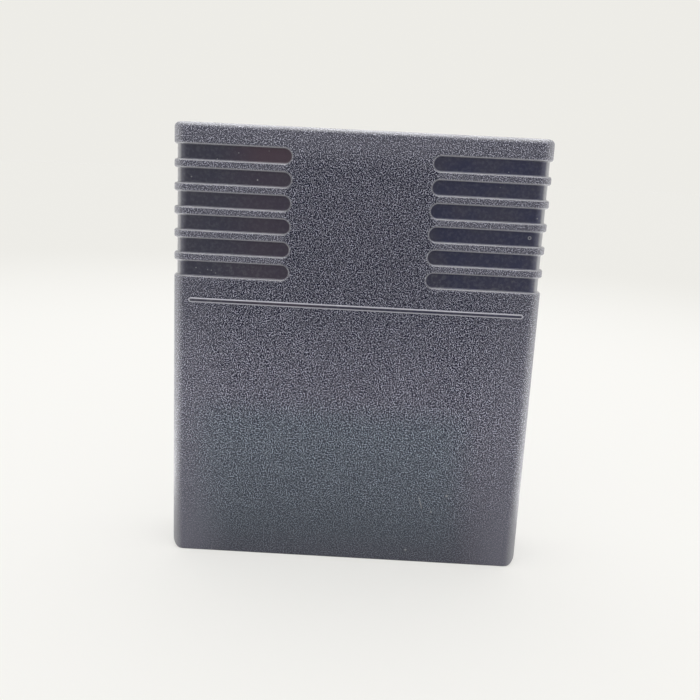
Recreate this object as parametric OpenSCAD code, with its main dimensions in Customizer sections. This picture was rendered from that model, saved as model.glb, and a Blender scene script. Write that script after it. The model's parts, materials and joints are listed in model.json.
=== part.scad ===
// Game cartridge, standing on its connector end.
// Millimetres, +Z up, origin under the middle of the case.
// The rear face with the finger grooves looks along -Y and the label side along +Y.

/* [Case] */
// Width of the case across the two grip sides
case_w = 81; // [74:0.5:100]
// Height of the case from the connector end to the top end
case_h = 97.2; // [92:0.2:125]
// Thickness of the closed case
case_t = 19; // [18.5:0.5:26]
// Thickness of the moulded walls
wall = 2.4; // [2:0.1:3]
// Radius of the four long upright edges
side_r = 3.2; // [2.6:0.1:5]
// Radius round the top end
top_r = 1.2; // [0.5:0.1:1.8]
// Radius round the connector end
foot_r = 0.4; // [0.2:0.1:1]
// Radius of the two lower corners, seen from the rear
foot_corner_r = 2.9; // [1.2:0.05:4]
// Height of the locating lip along the parting line
lip_h = 1.2; // [0.8:0.1:2]
// Thickness of the locating lip
lip_t = 0.8; // [0.6:0.05:1]
// Gap round the locating lip, the pins and the pegs
fit_gap = 0.1; // [0.05:0.01:0.15]
// Width of the fine shadow gap along the parting line
seam_w = 0.2; // [0.1:0.05:0.5]
// Depth of the shadow gap below the floors of the grooves
seam_depth = 0.2; // [0.1:0.05:0.3]

/* [Finger grooves] */
// Number of grooves on each side
groove_count = 6; // [1:1:6]
// Distance from one groove to the next
groove_pitch = 4.95; // [4.4:0.05:6]
// Height of a groove between its walls
groove_h = 3.1; // [2:0.1:3.4]
// Depth of a groove
groove_depth = 0.65; // [0.5:0.05:1]
// Radius of the eased lip of a groove
groove_lip_r = 0.45; // [0.1:0.05:0.45]
// Height of the plain band above the first groove
cap_h = 4.6; // [3:0.1:8]
// Plain width between the left and right grooves on the rear face
rear_land = 30; // [16:1:50]
// Plain width between the label recess and the groove ends on the front face
front_land = 2; // [1:0.1:3]

/* [Bead] */
// Distance of the bead below the lowest groove
bead_drop = 6.9; // [4:0.1:20]
// Height of the bead on the rear face
bead_h = 1.1; // [0.8:0.1:2]
// How far the bead stands proud of the rear face
bead_proud = 0.3; // [0.2:0.05:0.45]
// Plain width between the end of the bead and the rounded upright edge
bead_inset = 0.6; // [0.2:0.1:17]

/* [Label recesses] */
// Depth of the recess for the front label
label_depth = 0.4; // [0.2:0.05:0.6]
// Plain width beside the front label recess
label_side = 9.5; // [9:0.1:16]
// Plain height under the front label recess
label_foot = 8; // [5:0.5:15]
// Plain height above the front label recess
label_head = 14; // [5:0.5:20]
// Corner radius of the label recesses
label_r = 2; // [0.5:0.1:3]
// Depth of the recess for the end label
end_label_depth = 0.3; // [0.2:0.05:0.5]
// Plain width beside and around the end label recess
end_label_edge = 3; // [2.5:0.1:4]

/* [Connector mouth] */
// Width of the mouth
mouth_w = 42; // [38:0.5:44]
// Height of the mouth across the thickness of the case
mouth_t = 12.6; // [11.5:0.1:13]
// Corner radius of the mouth
mouth_r = 1.2; // [0.6:0.1:3]
// Bevel round the mouth
mouth_bevel = 0.6; // [0.2:0.1:1]
// Height of the two guide walls beside the contacts
guide_h = 17; // [10:0.5:18.5]
// Thickness of the ribs and guide walls inside the case
rib_t = 1.6; // [1:0.1:2]

/* [Circuit board] */
// Width of the board
board_w = 56; // [52:0.5:60]
// Height of the board above its connector tongue
board_h = 52; // [49:0.5:60]
// Thickness of the board
board_t = 1.6; // [1.2:0.1:2]
// Width of the connector tongue
tongue_w = 32.6; // [31.5:0.1:36]
// Height of the connector tongue
tongue_h = 16; // [15:0.5:18]
// How far the tongue ends inside the mouth
tongue_recess = 4; // [2.5:0.1:6]
// Bevel on the lower edge of the tongue
tongue_bevel = 0.4; // [0.2:0.05:0.5]
// Number of contacts on each side
contact_count = 12; // [4:2:12]
// Distance from one contact to the next, and from one chip pin to the next
pin_pitch = 2.54; // [2.4:0.01:2.6]
// Width of a contact
contact_w = 1.6; // [1.2:0.05:1.9]
// Height of a contact
contact_h = 9; // [7:0.5:12]
// Thickness of the copper on the board
copper_t = 0.07; // [0.04:0.01:0.12]
// Width of a copper track
track_w = 0.5; // [0.3:0.05:0.6]
// Diameter of a solder pad
pad_d = 1.7; // [1.5:0.05:1.8]
// Diameter of a pin hole
pin_hole_d = 0.9; // [0.8:0.05:1.1]

/* [Chips] */
// Height of the program chip above the lower edge of the board
program_chip_up = 16; // [14:0.5:18]
// Number of pins of the program chip
program_pin_count = 24; // [8:4:24]
// Distance between the two pin rows of the program chip
program_row = 15.24; // [14:0.02:16]
// Width of the program chip across its pin rows
program_w = 13.7; // [12:0.1:13.8]
// Height of the inverter chip above the lower edge of the board
inverter_chip_up = 33; // [31:0.5:34]
// Distance of the inverter chip to the left of the middle
inverter_left = 11; // [9:0.5:13]
// Number of pins of the inverter chip
inverter_pin_count = 14; // [8:2:14]
// Distance between the two pin rows of the inverter chip
inverter_row = 7.62; // [7.4:0.02:8]
// Width of the inverter chip across its pin rows
inverter_w = 6.3; // [5:0.1:6.5]
// Length of a chip beyond its end pins
chip_end = 1.9; // [1:0.1:2]
// Thickness of a chip
chip_t = 3.6; // [3:0.1:4]
// Height of a chip above the board
chip_gap = 0.5; // [0.3:0.05:0.8]
// Thickness of the sheet metal of the pins
lead_t = 0.28; // [0.2:0.01:0.35]
// Width of the tip of a pin
lead_w = 0.5; // [0.4:0.02:0.6]
// Width of the shoulder of a pin
lead_shoulder_w = 1.4; // [1:0.05:1.6]
// How far the pins reach through the board
lead_reach = 1.3; // [0.9:0.1:1.8]

/* [Capacitor] */
// Distance of the capacitor to the right of the middle
capacitor_right = 12; // [8:0.5:16]
// Diameter of the capacitor
capacitor_d = 4.6; // [4:0.1:4.8]
// Thickness of the capacitor
capacitor_t = 2.6; // [2:0.1:3.2]
// Diameter of its wires
wire_d = 0.5; // [0.4:0.05:0.6]

/* [Screw and pegs] */
// Height of the screw above the lower edge of the board
screw_up = 44.5; // [43:0.5:46]
// Diameter of the screw
screw_d = 2.9; // [2.5:0.1:3.2]
// Length of the screw under its head
screw_l = 10; // [8:0.5:10.5]
// Diameter of the screw head
screw_head_d = 5.6; // [5:0.1:6]
// Height of the screw head
screw_head_h = 1.9; // [1.5:0.1:2]
// Height of the seat of the screw head above the board
screw_seat = 5.9; // [5.5:0.1:6]
// Diameter of the screw post and of its boss
post_d = 8.4; // [8:0.1:9.5]
// Diameter of the boss where it passes through the board
spigot_d = 4.9; // [4.6:0.1:5.4]
// Diameter of the board pegs and of the corner pins
peg_d = 3; // [2.4:0.1:3.4]
// Wall round the holes that take the pegs and the pins
socket_wall = 1.4; // [1:0.1:1.8]
// Distance of the board pegs from the side edges of the board
peg_side = 4.5; // [4:0.1:5]
// Distance of the board pegs from the lower edge of the board
peg_up = 5; // [4.5:0.1:6]
// How far a board peg reaches past the board, and a corner pin into its hole
peg_reach = 3; // [2:0.1:4]
// Distance of the corner pins from the sides and ends of the case
corner_inset = 8; // [7.5:0.1:9]

/* [Hidden] */
$fn = 48;

// An overshoot that carries a cut clean through a face
over = 1;
// The angle at which an eased edge leaves its face, so that edges stay crisp
ease = 12;
// The largest radius along the floor of a groove
groove_floor_r_max = 0.3;
// The edge radius of the bead as a share of how far it stands proud
bead_round = 0.8;

half_w = case_w / 2;
half_t = case_t / 2;
inner_half_w = half_w - wall;
inner_half_t = half_t - wall;
inner_r = max(side_r - wall, 0.5);

groove_floor_r = min(groove_depth - groove_lip_r * cos(ease), groove_floor_r_max);
first_groove_z = case_h - cap_h - groove_h / 2;
last_groove_z = first_groove_z - (groove_count - 1) * groove_pitch;
bead_z = last_groove_z - bead_drop;
label_half_w = half_w - label_side;

board_z = tongue_recess + tongue_h;
board_top = board_z + board_h;
board_face = board_t / 2;
copper_face = board_face + copper_t;
chip_base = board_face + chip_gap;
program_z = board_z + program_chip_up;
inverter_z = board_z + inverter_chip_up;
screw_z = board_z + screw_up;
peg_x = board_w / 2 - peg_side;
peg_z = board_z + peg_up;
rail_x = board_w / 2 - rib_t;
corner_x = half_w - corner_inset;
socket_d = peg_d + 2 * (fit_gap + socket_wall);
seat_y = board_face + screw_seat;

// Draws a shape of x and z as a plate between two places on Y.
module plate_y(y0, y1) {
    translate([0, y1, 0]) rotate([90, 0, 0]) linear_extrude(y1 - y0) children();
}

// Draws a shape of y and z as a bar between two places on X.
module bar_x(x0, x1) {
    translate([x0, 0, 0]) rotate([90, 0, 90]) linear_extrude(x1 - x0) children();
}

// A round rod along Y between two places.
module rod_y(x, z, d, y0, y1) {
    translate([x, y1, z]) rotate([90, 0, 0]) cylinder(d = d, h = y1 - y0);
}

// A rectangle about the origin with round corners.
module round_rect(w, h, r) {
    square([w - 2 * r, h], center = true);
    square([w, h - 2 * r], center = true);
    for (x = [-1, 1], y = [-1, 1])
        translate([x * (w / 2 - r), y * (h / 2 - r)]) circle(r = r);
}

// One half of an upright section of the case, from its middle to one face.
module half_section(reach) {
    square([reach - top_r, case_h]);
    translate([0, foot_r]) square([reach, case_h - top_r - foot_r]);
    translate([reach - top_r, case_h - top_r]) circle(r = top_r);
    square([reach - foot_r, case_h - top_r]);
    translate([reach - foot_r, foot_r]) circle(r = foot_r);
}

// The front half of the outer form, with its edges rounded.
module case_half() {
    difference() {
        union() {
            bar_x(side_r - half_w, half_w - side_r) half_section(half_t);
            plate_y(0, half_t - side_r) {
                half_section(half_w);
                mirror([1, 0]) half_section(half_w);
            }
            for (side = [0, 1]) mirror([side, 0, 0])
                translate([half_w - side_r, half_t - side_r, 0])
                    rotate_extrude(angle = 90) half_section(side_r);
        }
        for (side = [0, 1]) mirror([side, 0, 0]) foot_corner();
    }
}

// The fine rebate round the front half that shows as a dark line where the halves meet.
module seam() {
    depth = groove_depth + seam_depth;
    plate_y(-over, seam_w / 2) difference() {
        translate([-half_w - over, -over]) square([case_w + 2 * over, case_h + 2 * over]);
        translate([0, case_h / 2])
            round_rect(case_w - 2 * depth, case_h - 2 * depth, foot_corner_r);
    }
}

// What the round lower corner takes off the case.
module foot_corner() {
    centre = foot_corner_r * cos(ease / 2);
    plate_y(-over, half_t + over) difference() {
        translate([half_w - centre, -over]) square([centre + over, centre + over]);
        translate([half_w - centre, centre]) circle(r = foot_corner_r);
    }
}

// The section of a groove: x runs across it and y out of the face.
module groove_section() {
    lip_y = -groove_lip_r * cos(ease);
    mid = groove_h / 2;
    floor_y = groove_floor_r - groove_depth;
    translate([-mid, floor_y]) square([groove_h, over - floor_y]);
    translate([groove_floor_r - mid, -groove_depth])
        square([groove_h - 2 * groove_floor_r, groove_depth]);
    for (side = [-1, 1])
        translate([side * (mid - groove_floor_r), floor_y]) circle(r = groove_floor_r);
    difference() {
        translate([-mid - groove_lip_r, lip_y])
            square([groove_h + 2 * groove_lip_r, over - lip_y]);
        for (side = [-1, 1])
            translate([side * (mid + groove_lip_r), lip_y]) circle(r = groove_lip_r);
    }
}

// The same section with x running out of the face.
module groove_section_out() {
    mirror([1, -1]) groove_section();
}

// What one groove takes off the front half, from the parting line round the side to its end.
module groove(z, end_x) {
    end_centre = end_x + groove_h / 2;
    translate([0, 0, z]) {
        plate_y(-over, half_t - side_r) translate([half_w, 0]) groove_section_out();
        translate([half_w - side_r, half_t - side_r, 0]) rotate_extrude(angle = 90)
            translate([side_r, 0]) groove_section_out();
        bar_x(end_centre, half_w - side_r) translate([half_t, 0]) groove_section_out();
        translate([end_centre, half_t, 0]) rotate([-90, 0, 0]) rotate([0, 0, 90])
            rotate_extrude(angle = 180) intersection() {
                groove_section();
                translate([0, -half_t]) square(case_t);
            }
    }
}

// All the grooves of the front half, ending at the given distance from the middle.
module grooves(end_x) {
    for (i = [0 : groove_count - 1], side = [0, 1])
        mirror([side, 0, 0]) groove(first_groove_z - i * groove_pitch, end_x);
}

// The space inside the front half.
module cavity_half() {
    translate([0, 0, wall]) linear_extrude(case_h - 2 * wall) intersection() {
        round_rect(2 * inner_half_w, 2 * inner_half_t, inner_r);
        translate([-half_w, -over]) square([case_w, case_t]);
    }
}

// The outline of the inner space, grown by the given width.
module inner_outline(grow) {
    translate([0, case_h / 2])
        round_rect(2 * (inner_half_w + grow), case_h - 2 * wall + 2 * grow, inner_r + grow);
}

// The ring of the locating lip, or of the rebate that takes it.
module lip_ring(grow) {
    difference() {
        inner_outline(lip_t + grow);
        inner_outline(-grow);
        translate([-mouth_w / 2 - rib_t - fit_gap + grow, -over])
            square([mouth_w + 2 * (rib_t + fit_gap - grow), wall + 2 * over]);
    }
}

// The mouth, with a bevel round its outer edge.
module mouth() {
    straight_w = mouth_w / 2 - mouth_r;
    straight_t = mouth_t / 2 - mouth_r;
    big = mouth_bevel + over;
    translate([0, 0, -over]) linear_extrude(wall + 2 * over)
        round_rect(mouth_w, mouth_t, mouth_r);
    bar_x(-straight_w, straight_w)
        bevel_section(mouth_t / 2);
    plate_y(-straight_t, straight_t)
        bevel_section(mouth_w / 2);
    for (x = [-1, 1], y = [-1, 1])
        translate([x * straight_w, y * straight_t, -over])
            cylinder(r1 = mouth_r + big, r2 = mouth_r, h = big);
}

// The section of the bevelled mouth at its outer edge.
module bevel_section(reach) {
    big = mouth_bevel + over;
    polygon([[-reach - big, -over], [reach + big, -over], [reach, mouth_bevel],
        [-reach, mouth_bevel]]);
}

// Guide walls beside the contacts and rails behind the board, in the front half.
module inner_ribs() {
    root = inner_half_t + wall / 2;
    for (side = [0, 1]) mirror([side, 0, 0]) {
        translate([mouth_w / 2, 0, wall / 2]) cube([rib_t, root, guide_h - wall / 2]);
        translate([rail_x, board_face, peg_z + socket_d / 2 + rib_t])
            cube([rib_t, root - board_face, board_top - peg_z - socket_d / 2 - 2 * rib_t]);
    }
}

// Where the two board pegs and the four corner pins stand, as x and z.
function board_pegs() = [for (side = [-1, 1]) [side * peg_x, peg_z]];
function corner_pins() = [for (side = [-1, 1], z = [corner_inset, case_h - corner_inset])
    [side * corner_x, z]];

// The rear housing half, with the long finger grooves, the bead and the screw boss.
module rear_shell() {
    root = inner_half_t + wall / 2;
    color([0.13, 0.13, 0.15]) mirror([0, 1, 0]) difference() {
        union() {
            difference() {
                case_half();
                cavity_half();
                seam();
            }
            bead();
            inner_ribs();
            plate_y(-lip_h, wall) lip_ring(0);
            rod_y(0, screw_z, post_d, board_face, root);
            rod_y(0, screw_z, spigot_d, -board_face, root);
            for (p = board_pegs()) {
                rod_y(p[0], p[1], socket_d, board_face, root);
                rod_y(p[0], p[1], peg_d, -board_face - peg_reach, root);
            }
            for (p = corner_pins()) rod_y(p[0], p[1], socket_d, 0, root);
        }
        grooves(rear_land / 2);
        mouth();
        end_label();
        rod_y(0, screw_z, screw_d + fit_gap / 2, -board_face - over, inner_half_t - fit_gap);
        for (p = corner_pins())
            rod_y(p[0], p[1], peg_d + 2 * fit_gap, -over, peg_reach + 2 * fit_gap);
    }
}

// The raised bead across the rear face, drawn on the front half before it is mirrored.
module bead() {
    edge = min(bead_proud, bead_h / 2) * bead_round;
    end_x = half_w - side_r - bead_inset - bead_h / 2;
    translate([0, half_t, bead_z]) {
        bar_x(-end_x, end_x) mirror([1, -1]) bead_section(edge);
        for (side = [-1, 1])
            translate([side * end_x, 0, 0]) rotate([-90, 0, 0]) rotate_extrude() intersection() {
                bead_section(edge);
                translate([0, -over]) square([bead_h, 2 * over]);
            }
    }
}

// The section of the bead: x runs across it and y out of the face.
module bead_section(edge) {
    flat = bead_h / 2 - edge;
    translate([-bead_h / 2, -wall / 2]) square([bead_h, wall / 2 + bead_proud - edge]);
    translate([-flat, -wall / 2]) square([2 * flat, wall / 2 + bead_proud]);
    for (side = [-1, 1])
        translate([side * flat, bead_proud - edge]) circle(r = edge);
}

// The shallow recess for an end label, across both halves.
module end_label() {
    translate([0, 0, case_h - end_label_depth]) linear_extrude(over)
        round_rect(2 * label_half_w, case_t - 2 * end_label_edge, label_r);
}

// The front housing half, with the bare label recess and the sunk screw seat.
module front_shell() {
    root = inner_half_t + wall / 2;
    color([0.13, 0.13, 0.15]) difference() {
        union() {
            difference() {
                case_half();
                cavity_half();
                seam();
            }
            inner_ribs();
            rod_y(0, screw_z, post_d, board_face, root);
            for (p = board_pegs()) rod_y(p[0], p[1], socket_d, board_face, root);
            for (p = corner_pins()) {
                rod_y(p[0], p[1], socket_d, 0, root);
                rod_y(p[0], p[1], peg_d, -peg_reach, root);
            }
        }
        grooves(label_half_w + front_land);
        mouth();
        end_label();
        plate_y(-over, lip_h + fit_gap) lip_ring(fit_gap);
        label_recess();
        rod_y(0, screw_z, screw_d + 2 * fit_gap, 0, half_t);
        rod_y(0, screw_z, screw_head_d + 4 * fit_gap, seat_y, half_t + over);
        for (p = board_pegs())
            rod_y(p[0], p[1], peg_d + 2 * fit_gap, 0, board_face + peg_reach + 2 * fit_gap);
    }
}

// The shallow recess for the front label.
module label_recess() {
    label_h = case_h - label_foot - label_head;
    plate_y(half_t - label_depth, half_t + over) translate([0, label_foot + label_h / 2])
        round_rect(2 * label_half_w, label_h, label_r);
}

// The self-tapping screw that holds the halves together.
module case_screw() {
    cross_w = screw_head_d / 6;
    cross_l = screw_head_d / 2 + cross_w / 2;
    cross_h = screw_head_h / 2;
    crown_r = screw_head_h / 2;
    head_r = screw_head_d / 2;
    tip_l = screw_d / 2;
    color([0.62, 0.62, 0.6]) translate([0, seat_y, screw_z]) difference() {
        rotate([-90, 0, 0]) {
            rotate_extrude() intersection() {
                union() {
                    square([head_r, screw_head_h - crown_r]);
                    square([head_r - crown_r, screw_head_h]);
                    translate([head_r - crown_r, screw_head_h - crown_r]) circle(r = crown_r);
                }
                square([head_r, screw_head_h]);
            }
            translate([0, 0, tip_l - screw_l]) cylinder(d = screw_d, h = screw_l - tip_l);
            translate([0, 0, -screw_l]) cylinder(d1 = screw_d / 3, d2 = screw_d, h = tip_l);
        }
        for (turn = [0, 90]) rotate([0, turn, 0])
            translate([-cross_l / 2, screw_head_h - cross_h, -cross_w / 2])
                cube([cross_l, cross_h + over, cross_w]);
    }
}

// Where the pins of a chip with two rows stand, as x and z.
function chip_pins(x, z, pins, row) = [for (i = [0 : pins / 2 - 1], side = [-1, 1])
    [x + (i - (pins / 2 - 1) / 2) * pin_pitch, z + side * row / 2]];
function program_pin_places() = chip_pins(0, program_z, program_pin_count, program_row);
function inverter_pin_places() = chip_pins(-inverter_left, inverter_z, inverter_pin_count, inverter_row);
function wire_places() = [for (side = [-1, 1])
    [capacitor_right + side * pin_pitch / 2, inverter_z]];

// The bare board, with its tongue, its pin holes and the holes for the pegs and the screw boss.
module circuit_board() {
    color([0.16, 0.36, 0.2]) difference() {
        union() {
            plate_y(-board_face, board_face)
                translate([-board_w / 2, board_z]) square([board_w, board_h]);
            bar_x(-tongue_w / 2, tongue_w / 2) polygon([
                [-board_face, board_z + over], [board_face, board_z + over],
                [board_face, tongue_recess + 2 * tongue_bevel],
                [board_face - tongue_bevel, tongue_recess],
                [tongue_bevel - board_face, tongue_recess],
                [-board_face, tongue_recess + 2 * tongue_bevel]]);
        }
        for (p = concat(program_pin_places(), inverter_pin_places(), wire_places()))
            rod_y(p[0], p[1], pin_hole_d, -board_t, board_t);
        for (p = board_pegs()) rod_y(p[0], p[1], peg_d + 2 * fit_gap, -board_t, board_t);
        rod_y(0, screw_z, spigot_d + 2 * fit_gap, -board_t, board_t);
    }
}

function contact_x(i) = (i - (contact_count - 1) / 2) * pin_pitch;
contact_z = tongue_recess + 3 * tongue_bevel;
contact_top = contact_z + contact_h;

// The gold contacts on the label side, each with its straight track to the lower pin row.
module front_contacts() {
    row_z = program_z - program_row / 2;
    color([0.85, 0.66, 0.28]) plate_y(board_face, copper_face) difference() {
        union() {
            for (i = [0 : contact_count - 1]) {
                translate([contact_x(i) - contact_w / 2, contact_z]) square([contact_w, contact_h]);
                translate([contact_x(i) - track_w / 2, contact_z])
                    square([track_w, row_z - contact_z]);
            }
            for (p = program_pin_places()) if (p[1] < program_z) translate(p) circle(d = pad_d);
        }
        for (p = program_pin_places()) translate(p) circle(d = pin_hole_d);
    }
}

// The route of a track on the rear, which passes between the lower pins to the upper row.
function rear_track(x) = let (
    jog = pin_pitch / 2,
    low = board_z + over,
    high = program_z + program_row / 2,
    route = [[x, contact_top - over], [x, low], [x + jog, low + jog], [x + jog, high - 2 * jog],
        [x, high - jog], [x, high]])
    concat([for (p = route) p - [track_w / 2, 0]],
        [for (i = [len(route) - 1 : -1 : 0]) route[i] + [track_w / 2, 0]]);

// The gold contacts on the rear side, their tracks and the solder pads of all the pins.
module rear_contacts() {
    pins = concat(program_pin_places(), inverter_pin_places(), wire_places());
    color([0.85, 0.66, 0.28]) plate_y(-copper_face, -board_face) difference() {
        union() {
            for (i = [0 : contact_count - 1]) {
                translate([contact_x(i) - contact_w / 2, contact_z]) square([contact_w, contact_h]);
                polygon(rear_track(contact_x(i)));
            }
            for (p = pins) translate(p) circle(d = pad_d);
        }
        for (p = pins) translate(p) circle(d = pin_hole_d);
    }
}

// A moulded chip body with the notch that marks its first pin.
module chip_body(x, z, pins, w) {
    l = (pins / 2 - 1) * pin_pitch + 2 * chip_end;
    notch_d = w / 5;
    notch_h = chip_t / 8;
    slope = chip_t / 12;
    top = chip_base + chip_t;
    mid = chip_base + chip_t / 2;
    difference() {
        translate([x, 0, z]) intersection() {
            bar_x(-l / 2, l / 2) polygon([[chip_base, slope - w / 2], [mid, -w / 2],
                [top, slope - w / 2], [top, w / 2 - slope], [mid, w / 2], [chip_base, w / 2 - slope]]);
            rotate([0, 90, 0]) bar_x(-w / 2, w / 2) polygon([[chip_base, slope - l / 2], [mid, -l / 2],
                [top, slope - l / 2], [top, l / 2 - slope], [mid, l / 2], [chip_base, l / 2 - slope]]);
        }
        rod_y(x - l / 2, z, notch_d, top - notch_h, top + over);
    }
}

// The bent pins of a chip: shoulders beside the body and thin tips through the board.
module chip_leads(x, z, pins, row, w) {
    mid = chip_base + chip_t / 2;
    outer = row / 2 + lead_t / 2;
    for (p = chip_pins(x, 0, pins, row)) translate([p[0], 0, z]) mirror([0, 0, p[1] < 0 ? 1 : 0]) {
        bar_x(-lead_shoulder_w / 2, lead_shoulder_w / 2) {
            translate([mid - lead_t / 2, w / 2]) square([lead_t, outer - w / 2]);
            translate([chip_base, outer - lead_t]) square([mid + lead_t / 2 - chip_base, lead_t]);
        }
        bar_x(-lead_w / 2, lead_w / 2) translate([-board_face - lead_reach, outer - lead_t])
            square([board_face + lead_reach + chip_base + lead_t, lead_t]);
    }
}

// The chip that holds the program.
module program_chip() {
    color([0.08, 0.08, 0.09]) chip_body(0, program_z, program_pin_count, program_w);
}

// Its pins.
module program_chip_leads() {
    color([0.75, 0.75, 0.74]) chip_leads(0, program_z, program_pin_count, program_row, program_w);
}

// The small inverter chip that turns the select signal over.
module inverter_chip() {
    color([0.08, 0.08, 0.09]) chip_body(-inverter_left, inverter_z, inverter_pin_count, inverter_w);
}

// Its pins.
module inverter_chip_leads() {
    color([0.75, 0.75, 0.74])
        chip_leads(-inverter_left, inverter_z, inverter_pin_count, inverter_row, inverter_w);
}

// The ceramic capacitor, a dipped disc on edge.
module capacitor() {
    rim = capacitor_t / 2;
    color([0.78, 0.5, 0.16])
        translate([capacitor_right, chip_base + capacitor_d / 2, inverter_z]) rotate_extrude()
            intersection() {
                union() {
                    translate([0, -rim]) square([capacitor_d / 2 - rim, capacitor_t]);
                    translate([capacitor_d / 2 - rim, 0]) circle(r = rim);
                }
                translate([0, -rim]) square([capacitor_d, capacitor_t]);
            }
}

// The two wires that leave the capacitor and pass through the board.
module capacitor_leads() {
    color([0.75, 0.75, 0.74]) difference() {
        for (p = wire_places())
            rod_y(p[0], p[1], wire_d, -board_face - lead_reach, chip_base + capacitor_d / 2);
        capacitor();
    }
}

// The solder round every pin on the rear of the board.
module solder_joints() {
    joint_h = lead_reach * 2 / 3;
    through = board_t + lead_reach;
    color([0.7, 0.71, 0.72]) difference() {
        for (p = concat(program_pin_places(), inverter_pin_places(), wire_places()))
            translate([p[0], -copper_face, p[1]]) rotate([90, 0, 0])
                cylinder(d1 = pad_d, d2 = pin_hole_d, h = joint_h);
        for (p = concat(program_pin_places(), inverter_pin_places()))
            translate([p[0] - lead_w / 2, -through, p[1] - lead_t / 2])
                cube([lead_w, through, lead_t]);
        for (p = wire_places()) rod_y(p[0], p[1], wire_d, -through, 0);
    }
}

rear_shell();
front_shell();
case_screw();
circuit_board();
front_contacts();
rear_contacts();
program_chip();
program_chip_leads();
inverter_chip();
inverter_chip_leads();
capacitor();
capacitor_leads();
solder_joints();
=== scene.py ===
"""The looks of a game cartridge: a grained black case with its board and chips, on a pale floor."""

import json
import math

import bpy
from mathutils import Euler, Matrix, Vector


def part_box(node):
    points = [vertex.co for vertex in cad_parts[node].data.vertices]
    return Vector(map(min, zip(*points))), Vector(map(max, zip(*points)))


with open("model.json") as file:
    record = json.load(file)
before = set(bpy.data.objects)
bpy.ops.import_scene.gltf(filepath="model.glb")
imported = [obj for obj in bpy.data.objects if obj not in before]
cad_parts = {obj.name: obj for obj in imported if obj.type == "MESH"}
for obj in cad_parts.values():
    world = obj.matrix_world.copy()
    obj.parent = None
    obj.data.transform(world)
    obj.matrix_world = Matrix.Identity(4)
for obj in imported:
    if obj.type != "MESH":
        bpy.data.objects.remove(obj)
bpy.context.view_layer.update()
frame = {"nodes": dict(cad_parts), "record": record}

MM = 0.001

# The case, read from the frame
CASE_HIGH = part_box("front_shell")[1]
HALF_W = CASE_HIGH.x
HALF_T = CASE_HIGH.y
CASE_H = CASE_HIGH.z

# The finger grooves and the bead, as in the model. GROOVE_FIRST and GROOVE_BAND are measured down from
# the top, and REAR_END and FRONT_END are the centres of the grooves' round inner ends
GROOVE_PITCH = 4.95 * MM
GROOVE_HALF = 1.55 * MM
GROOVE_FIRST = 6.15 * MM
GROOVE_BAND = (4.0 * MM, 33.05 * MM)
REAR_END = 15 * MM + GROOVE_HALF
FRONT_END = 33 * MM + GROOVE_HALF
LIP_R = 0.45 * MM
BEAD_Z = CASE_H - 37.8 * MM
BEAD_HALF = 0.55 * MM
BEAD_END = 36.15 * MM

# The label recesses and the inside, as ranges that hold the surfaces there, and their narrow fade
RECESS_HALF = 31.1 * MM
LABEL_FLOOR_Y = (HALF_T - 0.6 * MM, HALF_T - 0.3 * MM)
LABEL_FLOOR_Z = (8 * MM, CASE_H - 14 * MM)
END_FLOOR_HALF = 6.6 * MM
END_FLOOR_Z = (CASE_H - 0.5 * MM, CASE_H - 0.2 * MM)
INSIDE_DEPTH = 1.5 * MM
INSIDE_Z = (0.6 * MM, CASE_H - INSIDE_DEPTH)
NARROW_FADE = 0.05 * MM

# Fades, from the distance or place where a mask is 0 to the one where it is 1.
# Near a groove: past its wall, past its end, from the middle of its lip, and past the band of grooves
IN_GROOVE = (0.1 * MM, -0.02 * MM)
PAST_END = (0.0, 0.8 * MM)
LIP_CENTRE = 0.36 * LIP_R
ON_LIP = (0.5 * LIP_R, 0.14 * LIP_R)
BAND_FADE = 0.1 * MM
# On the bead: its height above the face, and the distance from its middle line
ON_BEAD = (-HALF_T - 0.01 * MM, -HALF_T - 0.05 * MM)
BEAD_EDGE = (BEAD_HALF - 0.36 * MM, BEAD_HALF - 0.22 * MM)
# At the case's edges: the upright ones, the top rim, and the floors of the grooves that go round the
# upright ones
SIDE_X = (HALF_W - 3.0 * MM, HALF_W - 0.6 * MM)
SIDE_Y = (HALF_T - 3.2 * MM, HALF_T - 2.0 * MM)
TOP_RIM = (CASE_H - 1.2 * MM, CASE_H - 0.2 * MM)
CORNER_X = (HALF_W - 2.05 * MM, HALF_W - 1.35 * MM)
CORNER_Y = (HALF_T - 4.7 * MM, HALF_T - 3.4 * MM)
# Worn by hands: heights from the foot, where the case is also painted darker, the places that fingers
# grip, also painted lighter, and the one under the palm
RUBBED_AND_SHADED_HEIGHTS = (26 * MM, 0.0)
HANDLED = (42 * MM, 21 * MM)
FOOT = (8 * MM, 0.0)
GRIP_AND_LIGHT_X = (HALF_W - 16 * MM, HALF_W - 2 * MM)
GRIP_AND_LIGHT_Z = (CASE_H - 9 * MM, CASE_H - 2 * MM)
PALM_Z = (40 * MM, 31 * MM)
# Painted shade and painted light: the upper half, and the strip under the top rim
UPPER_HALF = (35 * MM, 70 * MM)
TOP_STRIP = (CASE_H - 9 * MM, CASE_H - 3 * MM)
# In the grooves: across the face for the painted shade, the first groove for the painted reddish
# reflection, and the lower ones
DARKER_RIGHT_X = (-45 * MM, 25 * MM)
FIRST_GROOVE = (CASE_H - 9.7 * MM, CASE_H - 7.7 * MM)
LOW_GROOVES = (CASE_H - 27.2 * MM, CASE_H - 30.2 * MM)
# Noise that becomes haze and dust
HAZE = (0.35, 0.7)
DUST = (0.42, 0.72)

# Stretches across the face where a mask is 1, and how far outside them it fades
PALM_X = (-30 * MM, 21 * MM)
PALM_FADE = 10 * MM
# Where the painted reddish reflection shows
REDDISH_REFLECTION_X = (-20 * MM, -14 * MM)
REDDISH_REFLECTION_FADE = 12 * MM

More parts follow.
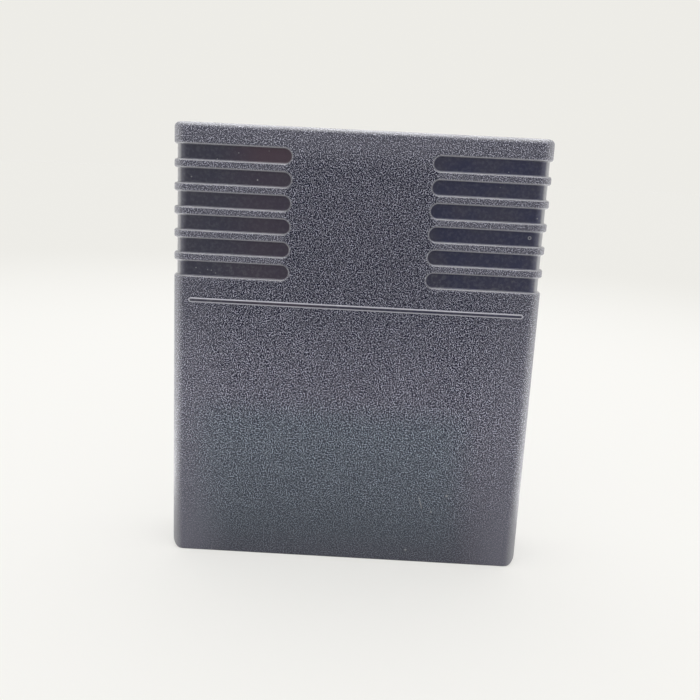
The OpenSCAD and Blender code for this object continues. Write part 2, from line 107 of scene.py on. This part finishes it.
# Specks of dust, nicks and scuffs: their place in mm, their radius in mm and how much they show.
# They show in full over MARK_CORE of their radius
MARKS = (
    ((23.19, -9.5, 16.85), 0.35, 0.8),
    ((19.89, -9.5, 12.76), 0.3, 0.5),
    ((14.62, -9.5, 2.93), 0.35, 0.5),
    ((28.24, -9.5, 22.33), 0.3, 0.4),
    ((14.84, -9.5, 17.83), 0.22, 0.35),
    ((16.3, -9.5, 16.69), 0.22, 0.35),
    ((-22.2, -8.85, 85.79), 0.2, 0.6),
    ((-26.32, -8.85, 91.21), 0.16, 0.35),
    ((-19.89, -8.85, 91.91), 0.14, 0.25),
    ((-30.85, -8.85, 89.79), 0.16, 0.3),
    ((-36.34, -8.85, 85.83), 0.2, 0.3),
    ((-35.1, -9.3, 84.76), 0.25, 0.6),
    ((-35.21, -8.85, 66.43), 0.2, 0.3),
    ((-32.67, -8.85, 66.11), 0.16, 0.3),
    ((-31.85, -8.85, 66.02), 0.18, 0.35),
    ((-30.92, -8.85, 65.45), 0.16, 0.3),
    ((-34.33, -8.85, 65.43), 0.14, 0.22),
    ((30.89, -8.85, 90.02), 0.16, 0.35),
    ((29.37, -8.85, 86.82), 0.14, 0.25),
    ((37.85, -8.85, 80.7), 0.2, 0.4),
    ((25.19, -9.3, 89.34), 0.25, 0.5),
    ((21.13, -9.3, 87.67), 0.22, 0.4),
)
MARK_CORE = 0.4
# The faint scratch, by its two ends, and the ring-shaped speck, by its middle, both in mm
SCRATCH = ((16.79, -9.5, 16.23), (17.66, -9.5, 13.57))
SCRATCH_FADE = (0.22 * MM, 0.05 * MM)
SCRATCH_SHOWS = 0.4
RING_PLACE = (36.59, -8.85, 76.51)
RING_R = 0.3 * MM
RING_FADE = (0.14 * MM, 0.03 * MM)
RING_SHOWS = 0.45

# Colours of the case, as linear values
PIT_COLOUR = (0.003, 0.004, 0.018)
RIDGE_COLOUR = (0.580, 0.582, 0.712)
HANDLED_COLOUR = (0.117, 0.119, 0.144)
# Paler where fingers grip: partly wear, partly painted light
GRIP_WEAR_AND_LIGHT_COLOUR = (0.193, 0.191, 0.238)
# Darker and bluer towards the foot: partly wear, partly painted shade
RUBBED_AND_SHADED_COLOUR = (0.050, 0.0505, 0.069)
PALM_TINT = (0.915, 1.05, 1.02)
SMOOTH_COLOUR = (0.010, 0.010, 0.028)
# Painted shade: the grooves and the bead darker towards the right
DARKER_RIGHT_COLOUR = (0.001, 0.003, 0.030)
HAZE_COLOUR = (0.019, 0.018, 0.036)
# Painted reflection: a reddish tint in the left grooves
REDDISH_REFLECTION_COLOUR = (0.035, 0.016, 0.030)
# Painted highlights: pale lines on the groove lips and the bead's edges
LIP_HIGHLIGHT_COLOUR = (0.262, 0.262, 0.286)
BEAD_EDGE_HIGHLIGHT_COLOUR = (0.370, 0.365, 0.420)
# Pale edges: partly wear, partly a painted highlight
EDGE_WEAR_AND_HIGHLIGHT_COLOUR = (0.340, 0.340, 0.355)
DUST_COLOUR = (0.42, 0.42, 0.43)

# The grain: its cells per metre and how uneven they are, how far and how finely they wander, where in a
# cell the pit ends and the ridge starts, and how deep it is
GRAIN_SCALE = 4200.0
GRAIN_UNEVEN = 0.85
GRAIN_DRIFT = 0.17 * MM
DRIFT_SCALE = 0.6 * GRAIN_SCALE
GRAIN_PIT = 0.41
GRAIN_RIDGE = 0.64
GRAIN_DEPTH = 0.10 * MM

# How flat the grain is where the case is rubbed and at its edges, when 1 is as flat as in the grooves,
# and how much of its depth is gone there
RUBBED_FLAT = 0.6
EDGE_FLAT = 0.8
FLAT_SHARE = 0.9

# How much each tone shows. A pair is the share where its mask is 0 and where it is 1
PATCH_RANGE = (0.85, 1.15)
HANDLED_SHARE = 0.28
# Towards the foot: partly wear, partly painted shade
RUBBED_AND_SHADED_SHARE = 0.78
PALM_RANGE = (1.0, 0.4)
# Where fingers grip: partly wear, partly painted light
GRIP_AND_LIGHT_RANGE = (0.30, 0.52)
TOP_GRIP_AND_LIGHT = 1.2
RIB_GRIP_AND_LIGHT = 0.38
# Painted shade over the upper half, and painted light that lessens it under the top rim and on the ribs
UPPER_SHADE = 0.42
TOP_BRIGHT = 0.22
RIB_BRIGHT = 0.195
HAZE_SHARE = 0.6
HAZE_RANGE = (1.0, 0.5)
DUST_RANGE = (0.035, 0.085)
# The painted reddish reflection, strongest in the first groove
REDDISH_REFLECTION_RANGE = (0.35, 0.90)
# The painted highlight on the lips, less round the grooves' inner ends
LIP_HIGHLIGHT_RANGE = (0.85, 0.35)
# The pale edges: partly wear, partly a painted highlight
SIDE_WEAR_AND_HIGHLIGHT_RANGE = (0.44, 0.79)
CORNER_WEAR_AND_HIGHLIGHT = 0.78
TOP_WEAR_AND_HIGHLIGHT = 0.55

# The scales of the noise, in waves per metre, and how finely its patches are broken up
PATCH_SCALE = 60.0
PATCH_DETAIL = 3.0
HAZE_SCALE = 130.0
DUST_SCALE = 1500.0

# The gloss of the case
PLASTIC_IOR = 1.4
GRAIN_ROUGHNESS = 0.45
SMOOTH_ROUGHNESS = 0.32
PIT_GLOSS = 0.12
RIDGE_GLOSS = 0.5

# The plain finishes, by material slot: colour, roughness, metallic and the depth of the grain
FINISHES = {
    "screw_steel": ((0.22, 0.22, 0.215), 0.45, 1.0, 0.002 * MM),
    "board_laminate": ((0.03, 0.13, 0.05), 0.35, 0.0, 0.01 * MM),
    "contact_gold": ((0.83, 0.60, 0.22), 0.22, 1.0, 0.003 * MM),
    "chip_plastic": ((0.018, 0.018, 0.02), 0.55, 0.0, 0.03 * MM),
    "tinned_lead": ((0.6, 0.6, 0.58), 0.3, 1.0, 0.004 * MM),
    "solder": ((0.6, 0.61, 0.62), 0.2, 1.0, 0.006 * MM),
    "capacitor_dip": ((0.55, 0.25, 0.04), 0.25, 0.0, 0.02 * MM),
}
# Their patches and grain: how much darker and lighter, and smoother and rougher, they get
FINISH_PATCH_SCALE = 180.0
FINISH_GRAIN_SCALE = 1500.0
FINISH_TONES = (0.86, 1.1)
FINISH_ROUGHNESS = (0.8, 1.2)

# The camera at the photograph's viewing angle: the photo's side and the focal length are in pixels,
# the sensor in mm and the angles in degrees
PHOTO_SIDE = 700
FOCAL_PX = 798.3
SENSOR = 36
CAMERA_PLACE = Vector((1.624, -182.253, 87.814)) * MM
CAMERA_PITCH = 12.35
CAMERA_YAW = 0.766
CAMERA_ROLL = 2.895

# The backdrop and the floor: the floor glows for the camera, brightest round the object
BACKDROP = (0.850, 0.840, 0.800)
FLOOR_COLOUR = (0.86, 0.855, 0.83)
FLOOR_HALF = 40.0
FLOOR_GLOW_NEAR = (1.00, 0.99, 0.955)
FLOOR_GLOW_FAR = (0.79, 0.776, 0.724)
GLOW_CENTRE = (0.0, 0.15, 0.0)
GLOW_FADE = (0.6, 0.1)
GLOW_SHARE = 0.5

# Light: the strength of the world, and where the key lamp shines from, its strength and its width in
# degrees
AMBIENT = 0.73
WHITE = (1, 1, 1)
KEY_PLACE = (0, 0.12, 0.95)
KEY_LIGHT = 1.05
KEY_ANGLE = 60
# The softboxes: place, target, width, height and radiance. Those at the side are for the right,
# and the left has their mirror images
TOP_BOX = ((0, -0.12, 0.5), (0, -0.12, 0), 0.7, 0.9, 9.0)
SIDE_BOXES = {
    "box": ((0.26, 0.18, 0.137), (0.1, 0.18, 0.365), 0.47, 0.49, 1.0),
    "panel": ((0.42, -0.2, 0.12), (0, -0.01, 0.05), 0.5, 0.5, 2.2),
    "table": ((0.21, -0.055, 0.002), (0.21, -0.055, 1), 0.29, 0.17, 5.2),
}


class Nodes:
    """A material's or a world's node tree, with short calls for its nodes. The functions call it n."""

    def __init__(self, owner):
        owner.use_nodes = True
        self.tree = owner.node_tree
        self.tree.nodes.clear()

    def add(self, kind, *sources, **settings):
        """A new node with the given settings, and with its first sockets linked or set."""
        node = self.tree.nodes.new(kind)
        for key, value in settings.items():
            setattr(node, key, value)
        for socket, source in zip(node.inputs, sources):
            self.put(socket, source)
        return node

    def put(self, socket, source):
        """Links a socket to a node or another socket, or sets it to a plain value or colour."""
        if isinstance(source, bpy.types.Node):
            source = source.outputs[0]
        if isinstance(source, bpy.types.NodeSocket):
            self.tree.links.new(source, socket)
        elif socket.type == "RGBA":
            socket.default_value = (*source, 1)
        else:
            socket.default_value = source

    def fill(self, node, **sources):
        """Links or sets sockets by their names, in small letters with _ for each space."""
        for key, source in sources.items():
            name = key.replace("_", " ").title().replace("Ior", "IOR")
            self.put(node.inputs[name], source)
        return node

    def math(self, operation, *sources, clamp=False):
        """The result of one operation, such as ADD or SQRT."""
        return self.add("ShaderNodeMath", *sources, operation=operation, use_clamp=clamp).outputs[0]

    def times(self, first, *others):
        """The product of the values."""
        for other in others:
            first = self.math("MULTIPLY", first, other)
        return first

    def most(self, first, *others):
        """The largest of the values."""
        for other in others:
            first = self.math("MAXIMUM", first, other)
        return first

    def inverse(self, share):
        """1 where the share is 0, and 0 where it is 1."""
        return self.math("SUBTRACT", 1.0, share)

    def ramp(self, share, at_0, at_1):
        """A value that goes evenly from at_0 to at_1 as the share goes from 0 to 1."""
        return self.math("MULTIPLY_ADD", share, at_1 - at_0, at_0)

    def length(self, a, b):
        """The length of a slope that goes a across and b along."""
        squares = self.math("ADD", self.math("POWER", a, 2.0), self.math("POWER", b, 2.0))
        return self.math("SQRT", squares)

    def distance(self, vector, place):
        """How far the vector ends from the place."""
        return self.add("ShaderNodeVectorMath", vector, place, operation="DISTANCE").outputs["Value"]

    def smooth(self, value, low, high):
        """0 below low and 1 above high, with a soft step between; low may be the larger."""
        node = self.add("ShaderNodeMapRange", interpolation_type="SMOOTHSTEP")
        return self.fill(node, value=value, from_min=low, from_max=high).outputs["Result"]

    def between(self, value, low, high, fade=NARROW_FADE):
        """1 where the value lies between low and high, 0 further outside than the fade."""
        return self.times(self.smooth(value, low - fade, low), self.smooth(value, high + fade, high))

    def mix(self, share, a, b, blend_type="MIX"):
        """Colour a, with colour b over it by the share."""
        node = self.add("ShaderNodeMix", data_type="RGBA", blend_type=blend_type)
        for socket, source in ((0, share), (6, a), (7, b)):
            self.put(node.inputs[socket], source)
        return node.outputs[2]

    def mix_value(self, share, a, b):
        """Value a where the share is 0, and value b where it is 1."""
        node = self.add("ShaderNodeMix", data_type="FLOAT")
        for socket, source in ((0, share), (2, a), (3, b)):
            self.put(node.inputs[socket], source)
        return node.outputs[0]

    def place(self):
        """The shaded point's place in the frame."""
        return self.add("ShaderNodeTexCoord").outputs["Object"]

    def noise(self, vector, scale, detail=2.0):
        """Smooth noise from 0 to 1."""
        return self.fill(self.add("ShaderNodeTexNoise"), vector=vector, scale=scale, detail=detail)

    def bump(self, height, distance):
        """The normal of a surface raised by the distance where the height is 1."""
        return self.fill(self.add("ShaderNodeBump"), strength=1.0, distance=distance, height=height)

    def surface(self, **sources):
        """The finished surface: a Principled shader with the given sockets, and the output."""
        shader = self.fill(self.add("ShaderNodeBsdfPrincipled"), **sources)
        self.add("ShaderNodeOutputMaterial", shader)


class Point:
    """The shaded point of the case: its place, and how far it is from the middle planes."""

    def __init__(self, n):
        self.place = n.place()
        self.x, self.y, self.z = n.add("ShaderNodeSeparateXYZ", self.place).outputs
        self.away_x = n.math("ABSOLUTE", self.x)
        self.away_y = n.math("ABSOLUTE", self.y)


class Masks:
    """The parts of the case's surface: each mask is 1 there and 0 elsewhere."""

    def __init__(self, n, point):
        away, in_band, self.at_end = groove_distance(n, point)
        self.in_groove = n.times(in_band, n.smooth(away, *IN_GROOVE))
        from_lip = n.math("ABSOLUTE", n.math("SUBTRACT", away, LIP_CENTRE))
        self.on_lip = n.times(in_band, n.smooth(from_lip, *ON_LIP))
        self.on_rib = n.times(in_band, n.inverse(self.at_end))
        on_bead = n.smooth(point.y, *ON_BEAD)
        self.on_bead_edge = n.times(on_bead, bead_edge(n, point))
        self.recessed = in_recess(n, point)
        self.bare = n.most(self.in_groove, on_bead, self.recessed)
        self.edged = n.most(self.on_lip, self.on_bead_edge)
        self.smooth = n.most(self.bare, self.edged)
        self.rubbed_and_shaded = n.smooth(point.z, *RUBBED_AND_SHADED_HEIGHTS)
        self.handled = n.smooth(point.z, *HANDLED)
        self.at_side = n.times(n.smooth(point.away_x, *SIDE_X), n.smooth(point.away_y, *SIDE_Y))
        self.at_top = n.smooth(point.z, *TOP_RIM)


def in_metres(place):
    """A place in mm, turned into metres."""
    return tuple(value * MM for value in place)


def new_material(name):
    """An empty material and its node tree."""
    material = bpy.data.materials.new(name)
    return material, Nodes(material)


def groove_distance(n, point):
    """The distance outside the walls of the nearest finger groove, negative inside it; 1 at the height of
    the grooves and 0 elsewhere; 1 past their inner ends and 0 along them."""
    below_top = n.math("SUBTRACT", CASE_H, point.z)
    below_first = n.math("SUBTRACT", below_top, GROOVE_FIRST)
    row = n.math("WRAP", below_first, GROOVE_PITCH / 2, -GROOVE_PITCH / 2)
    on_front = n.math("GREATER_THAN", point.y, 0.0)
    end = n.mix_value(on_front, REAR_END, FRONT_END)
    past_end = n.most(n.math("SUBTRACT", end, point.away_x), 0.0)
    away = n.math("SUBTRACT", n.length(row, past_end), GROOVE_HALF)
    in_band = n.between(below_top, *GROOVE_BAND, BAND_FADE)
    return away, in_band, n.smooth(past_end, *PAST_END)


def bead_edge(n, point):
    """1 on the rounded edge of the bead, 0 on its flat top."""
    across = n.math("SUBTRACT", point.z, BEAD_Z)
    past_end = n.most(n.math("SUBTRACT", point.away_x, BEAD_END), 0.0)
    return n.smooth(n.length(across, past_end), *BEAD_EDGE)


def in_recess(n, point):
    """1 on the floors of the two label recesses and on the inner walls, 0 elsewhere."""
    narrow = n.math("LESS_THAN", point.away_x, RECESS_HALF)
    label = n.times(narrow, n.between(point.y, *LABEL_FLOOR_Y), n.between(point.z, *LABEL_FLOOR_Z))
    end = n.times(narrow, n.between(point.z, *END_FLOOR_Z),
                  n.math("LESS_THAN", point.away_y, END_FLOOR_HALF))
    inside = n.times(n.math("LESS_THAN", point.away_x, HALF_W - INSIDE_DEPTH),
                     n.math("LESS_THAN", point.away_y, HALF_T - INSIDE_DEPTH),
                     n.between(point.z, *INSIDE_Z))
    return n.most(label, end, inside)


def scratch(n, place):
    """The faint upright scratch: 1 along it, 0 elsewhere."""
    start, end = (Vector(in_metres(point)) for point in SCRATCH)
    along = end - start
    offset = n.add("ShaderNodeVectorMath", place, tuple(start), operation="SUBTRACT")
    reach = n.add("ShaderNodeVectorMath", offset, tuple(along), operation="DOT_PRODUCT")
    share = n.math("DIVIDE", reach.outputs["Value"], along.length_squared, clamp=True)
    foot = n.fill(n.add("ShaderNodeVectorMath", tuple(along), operation="SCALE"), scale=share)
    return n.smooth(n.distance(offset, foot), *SCRATCH_FADE)


def ring(n, place):
    """The ring-shaped speck in a groove: 1 on its line, 0 elsewhere."""
    away = n.distance(place, in_metres(RING_PLACE))
    from_line = n.math("ABSOLUTE", n.math("SUBTRACT", away, RING_R))
    return n.smooth(from_line, *RING_FADE)


def spots(n, place):
    """How much the specks of dust, the nicks, the scuffs, the scratch and the ring show."""
    total = n.most(n.times(scratch(n, place), SCRATCH_SHOWS), n.times(ring(n, place), RING_SHOWS))
    for centre, radius, shows in MARKS:
        away = n.distance(place, in_metres(centre))
        spot = n.smooth(away, radius * MM, radius * MARK_CORE * MM)
        total = n.most(total, n.times(spot, shows))
    return total


def grain_cells(n, point):
    """The moulded grain: 0 in a pit and 1 on the ridges between the pits, laid flat on every face."""
    normal = n.add("ShaderNodeTexCoord").outputs["Normal"]
    facing = n.add("ShaderNodeVectorMath", normal, operation="ABSOLUTE")
    face_x, face_y, face_z = n.add("ShaderNodeSeparateXYZ", facing).outputs
    to_side = n.math("GREATER_THAN", face_x, n.most(face_y, face_z))
    to_top = n.math("GREATER_THAN", face_z, n.most(face_x, face_y))
    across = n.mix_value(to_side, point.x, point.y)
    along = n.mix_value(to_top, point.z, point.y)
    flat = n.add("ShaderNodeCombineXYZ", across, along)
    drift = n.noise(point.place, DRIFT_SCALE, 0.0).outputs["Color"]
    flat = n.add("ShaderNodeVectorMath", drift, (GRAIN_DRIFT,) * 3, flat, operation="MULTIPLY_ADD")
    cells = n.add("ShaderNodeTexVoronoi", voronoi_dimensions="2D", feature="F1")
    n.fill(cells, vector=flat, scale=GRAIN_SCALE, randomness=GRAIN_UNEVEN)
    return n.smooth(cells.outputs["Distance"], GRAIN_PIT, GRAIN_RIDGE)


def flattened(n, masks):
    """How flat the grain is: 1 where the case is smooth, and less where it is only worn."""
    at_edge = n.most(masks.at_side, masks.at_top)
    return n.most(n.times(masks.rubbed_and_shaded, RUBBED_FLAT), n.times(at_edge, EDGE_FLAT), masks.smooth)


def under_palm(n, point):
    """How far a palm has worn the lower middle of the case, less near the foot."""
    palm = n.times(n.smooth(point.z, *PALM_Z), n.between(point.x, *PALM_X, PALM_FADE))
    return n.times(palm, n.ramp(n.smooth(point.z, *FOOT), *PALM_RANGE))


def grip_wear_and_painted_light(n, point, masks):
    """How far the sides, the strip under the top rim and the ribs between grooves are paler: worn by
    fingers, and painted light.
    """
    held_and_lit = n.most(n.smooth(point.away_x, *GRIP_AND_LIGHT_X), n.times(n.smooth(point.z, *GRIP_AND_LIGHT_Z), TOP_GRIP_AND_LIGHT))
    held_and_lit = n.times(held_and_lit, n.ramp(masks.rubbed_and_shaded, *GRIP_AND_LIGHT_RANGE))
    return n.most(held_and_lit, n.times(masks.on_rib, RIB_GRIP_AND_LIGHT))


def shaded(n, point, masks):
    """How much painted shade darkens the upper half, least under the top rim and on the ribs."""
    bright = n.most(n.times(n.smooth(point.z, *TOP_STRIP), TOP_BRIGHT),
                    n.times(masks.on_rib, RIB_BRIGHT))
    return n.times(n.smooth(point.z, *UPPER_HALF), n.math("SUBTRACT", UPPER_SHADE, bright))


def grained_colour(n, point, masks, grain):
    """The grained plastic: dark pits and pale ridges, less contrast where hands wore it, painted shade
    and light.
    """
    patches = n.noise(point.place, PATCH_SCALE, PATCH_DETAIL)
    raised = n.times(grain, n.ramp(patches, *PATCH_RANGE))
    colour = n.mix(raised, PIT_COLOUR, RIDGE_COLOUR)
    colour = n.mix(n.times(masks.handled, HANDLED_SHARE), colour, HANDLED_COLOUR)
    # Darker towards the foot: partly wear, partly painted shade
    colour = n.mix(n.times(masks.rubbed_and_shaded, RUBBED_AND_SHADED_SHARE), colour, RUBBED_AND_SHADED_COLOUR)
    colour = n.mix(under_palm(n, point), colour, PALM_TINT, blend_type="MULTIPLY")
    # Paler at the sides, under the top rim and on the ribs: partly wear, partly painted light
    colour = n.mix(grip_wear_and_painted_light(n, point, masks), colour, GRIP_WEAR_AND_LIGHT_COLOUR)
    # Painted shade over the upper half
    return n.mix(shaded(n, point, masks), colour, PIT_COLOUR)


def painted_reddish_reflection(n, point):
    """How far a painted reddish reflection tints the inner half of the left grooves on the rear face, the
    first most.
    """
    reddish_tint = n.times(n.between(point.x, *REDDISH_REFLECTION_X, REDDISH_REFLECTION_FADE),
                    n.ramp(n.smooth(point.z, *FIRST_GROOVE), *REDDISH_REFLECTION_RANGE))
    return n.times(reddish_tint, n.math("LESS_THAN", point.y, 0.0))


def smooth_colour(n, point, masks):
    """The smooth plastic in grooves, bead and recesses, with haze, dust, painted shade and a painted
    reflection.
    """
    # Painted shade: darker towards the right
    darker_right = n.times(n.smooth(point.x, *DARKER_RIGHT_X), n.inverse(masks.recessed))
    colour = n.mix(darker_right, SMOOTH_COLOUR, DARKER_RIGHT_COLOUR)
    haze = n.smooth(n.noise(point.place, HAZE_SCALE), *HAZE)
    haze = n.times(haze, n.ramp(masks.recessed, *HAZE_RANGE))
    colour = n.mix(n.times(haze, HAZE_SHARE), colour, HAZE_COLOUR)
    dust = n.smooth(n.noise(point.place, DUST_SCALE), *DUST)
    dusty = n.ramp(n.times(n.smooth(point.z, *LOW_GROOVES), haze), *DUST_RANGE)
    colour = n.mix(n.times(dust, dusty), colour, DUST_COLOUR)
    # Painted reflection: a reddish tint
    return n.mix(painted_reddish_reflection(n, point), colour, REDDISH_REFLECTION_COLOUR)


def worn_and_highlit_edges(n, point, masks):
    """How pale the top rim, the upright edges and the grooves that go round these are: partly worn,
    partly a painted highlight.
    """
    side = n.times(masks.at_side, n.ramp(masks.rubbed_and_shaded, *SIDE_WEAR_AND_HIGHLIGHT_RANGE))
    corner = n.times(n.smooth(point.away_x, *CORNER_X), n.smooth(point.away_y, *CORNER_Y))
    side = n.mix_value(masks.in_groove, side, n.times(corner, CORNER_WEAR_AND_HIGHLIGHT))
    return n.most(n.times(masks.at_top, TOP_WEAR_AND_HIGHLIGHT), side)


def case_plastic():
    """Black plastic with a fine spark-eroded grain, smooth in the grooves and on the bead."""
    material, n = new_material("case_plastic")
    point = Point(n)
    masks = Masks(n, point)
    grain = grain_cells(n, point)
    flat = flattened(n, masks)
    relief = n.times(grain, n.inverse(n.times(flat, FLAT_SHARE)))

    grained = grained_colour(n, point, masks, grain)
    colour = n.mix(masks.bare, grained, smooth_colour(n, point, masks))
    # Painted highlights on the groove lips and the bead's edges
    lip_highlight_share = n.ramp(n.times(masks.at_end, masks.on_lip), *LIP_HIGHLIGHT_RANGE)
    colour = n.mix(n.times(masks.edged, lip_highlight_share), colour, LIP_HIGHLIGHT_COLOUR)
    colour = n.mix(masks.on_bead_edge, colour, BEAD_EDGE_HIGHLIGHT_COLOUR)
    # Pale edges: partly wear, partly a painted highlight
    colour = n.mix(worn_and_highlit_edges(n, point, masks), colour, EDGE_WEAR_AND_HIGHLIGHT_COLOUR)
    colour = n.mix(spots(n, point.place), colour, DUST_COLOUR)

    roughness = n.mix_value(masks.smooth, GRAIN_ROUGHNESS, SMOOTH_ROUGHNESS)
    gloss = n.mix_value(n.most(grain, flat), PIT_GLOSS, RIDGE_GLOSS)
    n.surface(base_color=colour, roughness=roughness, normal=n.bump(relief, GRAIN_DEPTH),
              ior=PLASTIC_IOR, specular_ior_level=gloss)
    return material


def plain_material(name, colour, roughness, metallic, grain_depth):
    """A simple finish: one colour with slight patches, and a fine uneven surface."""
    material, n = new_material(name)
    place = n.place()
    patches = n.noise(place, FINISH_PATCH_SCALE, PATCH_DETAIL)
    dark, light = (tuple(value * share for value in colour) for share in FINISH_TONES)
    smoothest, roughest = (roughness * share for share in FINISH_ROUGHNESS)
    n.surface(base_color=n.mix(patches, dark, light), metallic=metallic,
              roughness=n.mix_value(patches, smoothest, roughest),
              normal=n.bump(n.noise(place, FINISH_GRAIN_SCALE), grain_depth))
    return material


def set_materials():
    """Gives every node the material of its slot in the record."""
    materials = {"case_plastic": case_plastic()}
    for name, finish in FINISHES.items():
        materials[name] = plain_material(name, *finish)
    for subpart in frame["record"]["subparts"]:
        mesh = frame["nodes"][subpart["node"]].data
        mesh.materials.clear()
        mesh.materials.append(materials[subpart["material_slot"]])


def seen_directly(n):
    """1 for rays from the camera, from a mirror and through glass, 0 for those that carry light."""
    rays = n.add("ShaderNodeLightPath").outputs
    return n.most(rays["Is Camera Ray"], rays["Is Glossy Ray"], rays["Is Transmission Ray"])


def make_world():
    """A pale backdrop that the camera and the mirrors see, and an even light for the object."""
    world = bpy.data.worlds.new("backdrop")
    bpy.context.scene.world = world
    n = Nodes(world)
    light = n.add("ShaderNodeBackground", WHITE, AMBIENT)
    backdrop = n.add("ShaderNodeBackground", BACKDROP, 1.0)
    n.add("ShaderNodeOutputWorld", n.add("ShaderNodeMixShader", seen_directly(n), light, backdrop))


def add_light(name, kind, place, target, **settings):
    """A lamp of the given kind that stands at the place and points to the target."""
    data = bpy.data.lights.new(name, kind)
    for key, value in settings.items():
        setattr(data, key, value)
    light = bpy.data.objects.new(name, data)
    bpy.context.scene.collection.objects.link(light)
    light.location = place
    light.rotation_euler = (Vector(target) - Vector(place)).to_track_quat("-Z", "Y").to_euler()
    return light


def softbox(name, place, target, width, height, radiance):
    """A glowing panel that shows only as a reflection."""
    power = radiance * math.pi * width * height
    light = add_light(name, "AREA", place, target, shape="RECTANGLE", size=width, size_y=height,
                      energy=power)
    light.visible_camera = False
    light.visible_diffuse = False


def make_lights():
    """A soft key lamp, and panels above and beside the object that its edges reflect."""
    add_light("key", "SUN", KEY_PLACE, (0, 0, 0), energy=KEY_LIGHT, angle=math.radians(KEY_ANGLE))
    softbox("top_box", *TOP_BOX)
    for side, turn in (("left", -1), ("right", 1)):
        for kind, (place, target, *size_and_radiance) in SIDE_BOXES.items():
            place, target = ((turn * x, y, z) for x, y, z in (place, target))
            softbox(side + "_" + kind, place, target, *size_and_radiance)


def floor_material():
    """A pale floor, which the camera sees half as lit and half as a painted glow, near the backdrop's
    tone far off and brightest round the object.
    """
    material, n = new_material("floor")
    near = n.smooth(n.distance(n.place(), GLOW_CENTRE), *GLOW_FADE)
    lit = n.add("ShaderNodeBsdfDiffuse", FLOOR_COLOUR)
    glow = n.add("ShaderNodeEmission", n.mix(near, FLOOR_GLOW_FAR, FLOOR_GLOW_NEAR), 1.0)
    share = n.times(seen_directly(n), GLOW_SHARE)
    n.add("ShaderNodeOutputMaterial", n.add("ShaderNodeMixShader", share, lit, glow))
    return material


def make_floor():
    """One plain square under the object."""
    corners = [(x * FLOOR_HALF, y * FLOOR_HALF, 0) for x, y in ((-1, -1), (1, -1), (1, 1), (-1, 1))]
    mesh = bpy.data.meshes.new("floor")
    mesh.from_pydata(corners, [], [(0, 1, 2, 3)])
    mesh.materials.append(floor_material())
    floor = bpy.data.objects.new("floor", mesh)
    bpy.context.scene.collection.objects.link(floor)


def make_camera():
    """The photograph's camera: its turn, tilt and roll are made one after the other."""
    data = bpy.data.cameras.new("camera")
    data.sensor_width = SENSOR
    data.lens = FOCAL_PX / PHOTO_SIDE * SENSOR
    data.clip_start = 0.01
    data.clip_end = 100
    camera = bpy.data.objects.new("camera", data)
    bpy.context.scene.collection.objects.link(camera)
    camera.location = CAMERA_PLACE
    turn = Euler((0, 0, math.radians(CAMERA_YAW))).to_matrix()
    tilt = Euler((math.radians(90 - CAMERA_PITCH), 0, 0)).to_matrix()
    roll = Euler((0, 0, math.radians(CAMERA_ROLL))).to_matrix()
    camera.rotation_euler = (turn @ tilt @ roll).to_euler()
    bpy.context.scene.camera = camera


make_camera()
make_world()
make_lights()
make_floor()
set_materials()

bpy.context.scene.view_settings.view_transform = "Standard"
